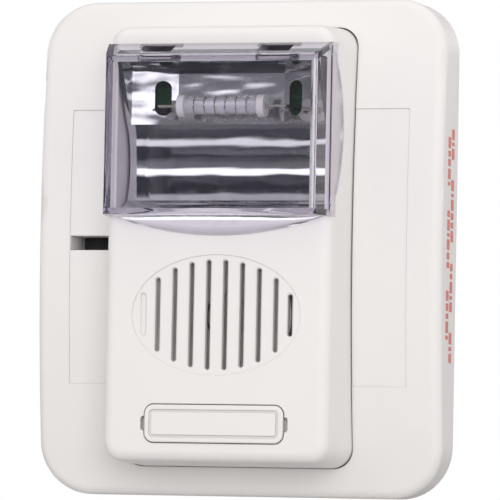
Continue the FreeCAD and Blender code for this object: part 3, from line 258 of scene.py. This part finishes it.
def mirror(name):
    """Vacuum-metallised plastic: a bright mirror with slight flow ripples and dull specks."""
    material, g = new_material(name)
    place = g.place()
    bright, dull = (0.86, 0.86, 0.885), (0.62, 0.6, 0.62)
    ripple = g.noise(g.stretch(place, 40.0, 110.0, 110.0), scale=1.0, detail=2.0)
    specks = g.noise(place, scale=700.0, detail=3.0, rough=0.7)
    shader = g.add("ShaderNodeBsdfPrincipled", {
        "Base Color": g.tint(g.spread(specks, 0.0, 0.35, start=0.55, end=0.8), bright, dull),
        "Metallic": 1.0, "Roughness": g.spread(specks, 0.03, 0.10, start=0.35, end=0.75),
        "Normal": g.bump(ripple, 0.25 * MM)})
    g.finish(shader.outputs[0])
    return material


def circuit_mask(name):
    """Green solder mask over glass cloth, with tracks showing through as lighter bands."""
    material, g = new_material(name)
    place = g.place()
    tracks = g.add("ShaderNodeTexVoronoi", {"Vector": place, "Scale": 160.0,
                                            "Randomness": 0.55},
                   distance="CHEBYCHEV", feature="F1").outputs["Distance"]
    track = g.spread(tracks, 0.0, 1.0, start=0.38, end=0.42)
    weave = g.noise(g.stretch(place, 2400.0, 400.0, 2400.0), scale=1.0, detail=1.0)
    deep_green, light_green = (0.03, 0.17, 0.075), (0.05, 0.27, 0.11)
    height = g.math("ADD", g.math("MULTIPLY", track, 0.6), g.math("MULTIPLY", weave, 0.15))
    shader = g.add("ShaderNodeBsdfPrincipled", {
        "Base Color": g.tint(track, deep_green, light_green),
        "Roughness": g.spread(weave, 0.22, 0.34),
        "Normal": g.bump(height, 0.05 * MM), "Coat Weight": 0.3})
    g.finish(shader.outputs[0])
    return material


def wound_wire(name):
    """Enamelled copper, wound in close turns, with painted shade in the gaps between turns."""
    material, g = new_material(name)
    copper = (0.72, 0.34, 0.16)
    # painted shade: the copper colour is darkened in the gaps between turns
    gap_shade = tuple(part * 0.45 for part in copper)
    turns = g.add("ShaderNodeTexWave", {"Vector": g.place(), "Scale": 480.0,
                                        "Distortion": 0.6},
                  bands_direction="Y").outputs["Fac"]
    shader = g.add("ShaderNodeBsdfPrincipled", {
        "Base Color": g.tint(turns, gap_shade, copper),
        "Metallic": 0.9, "Roughness": 0.28, "Coat Weight": 0.4,
        "Normal": g.bump(turns, 0.12 * MM)})
    g.finish(shader.outputs[0])
    return material


def foam(name):
    """Closed-cell foam: round cells and a dull skin, with painted shade in the cell pits."""
    material, g = new_material(name)
    # painted shade: cell middles darker, cell walls paler
    dark, pale = (0.03, 0.03, 0.032), (0.09, 0.09, 0.095)
    cells = g.add("ShaderNodeTexVoronoi", {"Vector": g.place(), "Scale": 1300.0}).outputs[0]
    shader = g.add("ShaderNodeBsdfPrincipled", {
        "Base Color": g.tint(cells, dark, pale), "Roughness": 0.85,
        "Normal": g.bump(cells, 0.15 * MM)})
    g.finish(shader.outputs[0])
    return material


def printed(name, tone):
    """Pad-printed ink: thin, slightly uneven cover with pinholes."""
    material, g = new_material(name)
    bare = (0.8, 0.62, 0.58)
    holes = g.noise(g.place(), scale=1500.0, detail=3.0, rough=0.7)
    base = g.tint(g.spread(holes, 0.0, 0.75, start=0.52, end=0.7), tone, bare)
    shader = g.add("ShaderNodeBsdfPrincipled", {
        "Base Color": base, "Roughness": 0.45, "Normal": g.bump(holes, 0.01 * MM)})
    g.finish(shader.outputs[0])
    return material


# the finish of each material slot of the record, with painted shade in the corners of the white
# plastics
PLASTICS = {
    "white_abs": dict(tone=(0.875, 0.86, 0.85), rough=0.40, grain=0.02, edge=0.3, corner_shade=0.5,
                      vary=0.02),
    "white_plate": dict(tone=(0.80, 0.795, 0.78), rough=0.52, grain=0.03, edge=0.25, corner_shade=0.4),
    "black_plastic": dict(tone=(0.018, 0.018, 0.02), rough=0.5, grain=0.03),
    "tube_rubber": dict(tone=(0.8, 0.79, 0.76), rough=0.6, grain=0.05),
    "capacitor_sleeve": dict(tone=(0.02, 0.024, 0.055), rough=0.25, grain=0.01),
    "ferrite": dict(tone=(0.045, 0.044, 0.048), rough=0.6, grain=0.08),
    "epoxy_black": dict(tone=(0.022, 0.022, 0.024), rough=0.55, grain=0.05),
    "film_yellow": dict(tone=(0.62, 0.37, 0.05), rough=0.3, grain=0.01),
    "small_ceramic": dict(tone=(0.3, 0.22, 0.14), rough=0.5, grain=0.03, edge=0.05),
    "terminal_green": dict(tone=(0.03, 0.035, 0.038), rough=0.5, grain=0.03),
    "piezo_ceramic": dict(tone=(0.78, 0.77, 0.72), rough=0.5, grain=0.02, edge=0.05),
    "sounder_plastic": dict(tone=(0.6, 0.59, 0.58), rough=0.5, grain=0.03),
    "actuator_white": dict(tone=(0.78, 0.77, 0.74), rough=0.45, grain=0.02, edge=0.1),
    "label_paper": dict(tone=(0.74, 0.74, 0.72), rough=0.35, grain=0.01, edge=0.05),
}
METALS = {
    "electrode_metal": dict(tone=(0.7, 0.69, 0.67), rough=0.3),
    "trigger_nickel": dict(tone=(0.72, 0.69, 0.62), rough=0.25),
    "lead_tinned": dict(tone=(0.72, 0.68, 0.62), rough=0.25),
    "terminal_tin": dict(tone=(0.72, 0.7, 0.64), rough=0.28),
    "zinc_steel": dict(tone=(0.66, 0.67, 0.69), rough=0.3),
    "brass": dict(tone=(0.8, 0.6, 0.27), rough=0.25),
    "piezo_brass": dict(tone=(0.64, 0.61, 0.56), rough=0.3, streak=(900.0, 60.0, 60.0)),
}
OTHERS = {
    "clear_lens": clear_lens,
    "reflector_metal": mirror,
    "tube_glass": tube_glass,
    "board_green": circuit_mask,
    "copper_wire": wound_wire,
    "foam_gasket": foam,
}


def make_material(slot):
    """The material for a slot of the record."""
    if slot in PLASTICS:
        return moulded(slot, **PLASTICS[slot])
    if slot in METALS:
        return metal(slot, **METALS[slot])
    return OTHERS[slot](slot)


def dress_frame():
    """Gives every CAD node the material of its slot, and smooth shading inside each face."""
    made = {}
    for part in frame["record"]["subparts"]:
        slot = part["material_slot"]
        if slot not in made:
            made[slot] = make_material(slot)
        node = frame["nodes"][part["node"]]
        node.data.materials.clear()
        node.data.materials.append(made[slot])
        node.data.shade_smooth()


# ---- printed marks ----

def mesh_piece(name, corners, faces, material, body):
    """A piece made of the given faces, riding on a body of the frame."""
    mesh = bpy.data.meshes.new(name)
    mesh.from_pydata(corners, [], faces)
    mesh.update()
    piece = bpy.data.objects.new(name, mesh)
    bpy.context.scene.collection.objects.link(piece)
    mesh.materials.append(material)
    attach(piece, body)
    return piece


# the sides of a block whose eight corners are listed by x, then y, then z
BLOCK_FACES = [(0, 1, 3, 2), (4, 6, 7, 5), (0, 4, 5, 1), (2, 3, 7, 6), (0, 2, 6, 4),
               (1, 5, 7, 3)]


def side_marks():
    """Two columns of plain red blocks, printed down each side wall of the outer cover.
    Sine waves give the blocks their lengths and leave some of them out."""
    low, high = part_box("outer_cover")
    ink = printed("red_ink", (0.72, 0.2, 0.16))
    thick, gap = 0.03 * MM, 0.7 * MM
    first_z, last_z = -31.0 * MM, 33.0 * MM
    rows = ((-5.6 * MM, 1.0), (-9.2 * MM, 2.3))    # middle of the column, start of its waves
    half_row = 1.4 * MM
    shortest, spare = 1.0 * MM, 2.2 * MM
    length_step, skip_step, skip_below = 1.9, 0.83, -0.75
    for side, wall in (("left", low.x), ("right", high.x)):
        corners, faces = [], []
        out = -thick if side == "left" else thick
        for y, phase in rows:
            z, number = first_z, 0
            while z < last_z:
                length = shortest + spare * math.sin(number * length_step + phase) ** 2
                if math.sin(number * skip_step + phase * 2.0) > skip_below:
                    first = len(corners)
                    corners += [(wall + dx, y + dy, z + dz) for dx in sorted((0.0, out))
                                for dy in (-half_row, half_row) for dz in (0.0, length)]
                    faces += [tuple(first + index for index in face) for face in BLOCK_FACES]
                z += length + gap
                number += 1
        piece = mesh_piece(f"side_marks_{side}", corners, faces, ink, "unit")


# ---- studio ----

def floor():
    """A round pale floor that fades to the backdrop's white. Mirrors, glass and a camera
    under it see through it."""
    height = CAD_BOX[0].z - FLOOR_DROP
    mesh = bpy.data.meshes.new("floor")
    steps = 96
    turns = [2 * math.pi * i / steps for i in range(steps)]
    ring = [(FLOOR_RADIUS * math.cos(turn), FLOOR_RADIUS * math.sin(turn), height)
            for turn in turns]
    mesh.from_pydata(ring, [], [tuple(range(steps))])
    piece = bpy.data.objects.new("floor", mesh)
    bpy.context.scene.collection.objects.link(piece)
    material, g = new_material("pale_floor")
    fine = g.noise(g.place(), scale=300.0, detail=2.0)
    matt = g.add("ShaderNodeBsdfDiffuse", {
        "Color": g.tint(fine, (0.6, 0.595, 0.59), (0.58, 0.575, 0.57))})
    fade_start, fade_end = 0.4, 1.6
    rays = g.add("ShaderNodeLightPath")
    seen = rays.outputs["Is Camera Ray"]
    glow = g.add("ShaderNodeEmission", {"Color": WHITE,
                                        "Strength": g.math("MULTIPLY", seen, FLOOR_GLOW)})
    both = g.add("ShaderNodeAddShader")
    g.tree.links.new(matt.outputs[0], both.inputs[0])
    g.tree.links.new(glow.outputs[0], both.inputs[1])
    away = g.add("ShaderNodeVectorMath", {"Vector": g.place()}, operation="LENGTH")
    far = g.spread(away.outputs["Value"], 0.0, 1.0, start=fade_start, end=fade_end)
    fade = g.math("MULTIPLY", far, seen)
    white = g.add("ShaderNodeEmission", {"Color": WHITE, "Strength": 1.0})
    top = g.mix(fade, both.outputs[0], white.outputs[0])
    sharp = g.sharp_ray(rays)
    below = g.add("ShaderNodeNewGeometry").outputs["Backfacing"]
    past = g.add("ShaderNodeBsdfTransparent", {"Color": WHITE})
    g.finish(g.mix(g.math("MAXIMUM", sharp, below), top, past.outputs[0]))
    mesh.materials.append(material)


# what mirrors and glass see of the room: height in degrees, brightness
BANDS = [(-90, 0.9), (-60, 0.7), (-56, 0.03), (-35, 0.02), (-32, 1.0), (-25, 1.0), (-22, 0.02),
         (-6, 0.01), (-2, 0.15), (5, 0.2), (7, 1.7), (15, 1.7), (18, 0.02), (40, 0.02),
         (44, 0.5), (60, 0.5), (64, 0.05), (70, 1.1), (90, 1.2)]


def world():
    """A white room. Mirrors and glass see its dark and bright bands instead, by height."""
    sky = bpy.data.worlds.new("studio")
    bpy.context.scene.world = sky
    sky.use_nodes = True
    g = Graph(sky.node_tree)
    direction = g.add("ShaderNodeTexCoord").outputs["Generated"]
    parts = g.add("ShaderNodeSeparateXYZ", {"Vector": direction})
    cloud = g.spread(g.noise(direction, scale=3.0, detail=1.0), -0.05, 0.05, start=0.3, end=0.7)
    height = g.spread(g.math("ADD", parts.outputs["Z"], cloud), 0.0, 1.0, start=-1.0, end=1.0)
    ramp = g.add("ShaderNodeValToRGB", {"Fac": height})
    elements = ramp.color_ramp.elements
    for angle, level in BANDS:
        share = (math.sin(math.radians(angle)) + 1) / 2
        if share == 0:
            element = elements[0]
        elif share == 1:
            element = elements[-1]
        else:
            element = elements.new(share)
        # a little violet, most of all in the dark bands
        element.color = (level * 0.98, level * 0.96, level + 0.008, 1.0)
    banded = g.add("ShaderNodeBackground", {"Color": ramp.outputs[0], "Strength": 1.0})
    room = g.add("ShaderNodeBackground", {"Color": ROOM_TONE, "Strength": ROOM_LIGHT})
    white = g.add("ShaderNodeBackground", {"Color": WHITE, "Strength": 1.0})
    rays = g.add("ShaderNodeLightPath")
    sharp = g.sharp_ray(rays)
    seen = g.mix(sharp, room.outputs[0], banded.outputs[0])
    seen = g.mix(rays.outputs["Is Camera Ray"], seen, white.outputs[0])
    g.add("ShaderNodeOutputWorld", {"Surface": seen})


def outward(azimuth, elevation):
    """A unit vector away from the object, from angles in degrees. Azimuth 0 is straight out
    of the wall and 90 is to the right."""
    a, e = math.radians(azimuth), math.radians(elevation)
    return Vector((math.sin(a) * math.cos(e), -math.cos(a) * math.cos(e), math.sin(e)))


def softbox(name, azimuth, elevation, distance, width, height, power, tone):
    """An area light on a sphere round the object, aimed at its centre. Mirrors and glass
    don't show it."""
    light = bpy.data.lights.new(name, "AREA")
    light.shape = "RECTANGLE"
    light.size = width
    light.size_y = height
    light.energy = power
    light.color = tone
    lamp = bpy.data.objects.new(name, light)
    lamp.visible_glossy = False
    lamp.visible_transmission = False
    back = outward(azimuth, elevation)
    lamp.location = back * distance
    lamp.rotation_mode = "QUATERNION"
    lamp.rotation_quaternion = back.to_track_quat("Z", "Y")
    bpy.context.scene.collection.objects.link(lamp)


def camera():
    """Long lens, to the object's right and a little below its middle."""
    roll = math.radians(1.1)
    distance, seen_height = 1.45, 139.1 * MM
    target = Vector((-1.5 * MM, 0.0, 0.1 * MM))
    back = outward(azimuth=17.3, elevation=-3.0)
    lens = bpy.data.cameras.new("camera")
    lens.sensor_width = 36.0
    lens.lens = lens.sensor_width / 2 / (seen_height / 2 / distance)
    lens.clip_start, lens.clip_end = 0.1, 50.0
    eye = bpy.data.objects.new("camera", lens)
    eye.location = target + back * distance
    turn = back.to_track_quat("Z", "Y").to_matrix().to_4x4()
    eye.rotation_mode = "QUATERNION"
    eye.rotation_quaternion = (turn @ Matrix.Rotation(roll, 4, "Z")).to_quaternion()
    bpy.context.scene.collection.objects.link(eye)
    bpy.context.scene.camera = eye


dress_frame()
side_marks()
floor()
world()
softbox("key", azimuth=20, elevation=8, distance=1.6, width=0.9, height=0.9, power=10.0,
        tone=(1.0, 0.995, 0.995))
camera()
bpy.context.scene.view_settings.view_transform = "Standard"
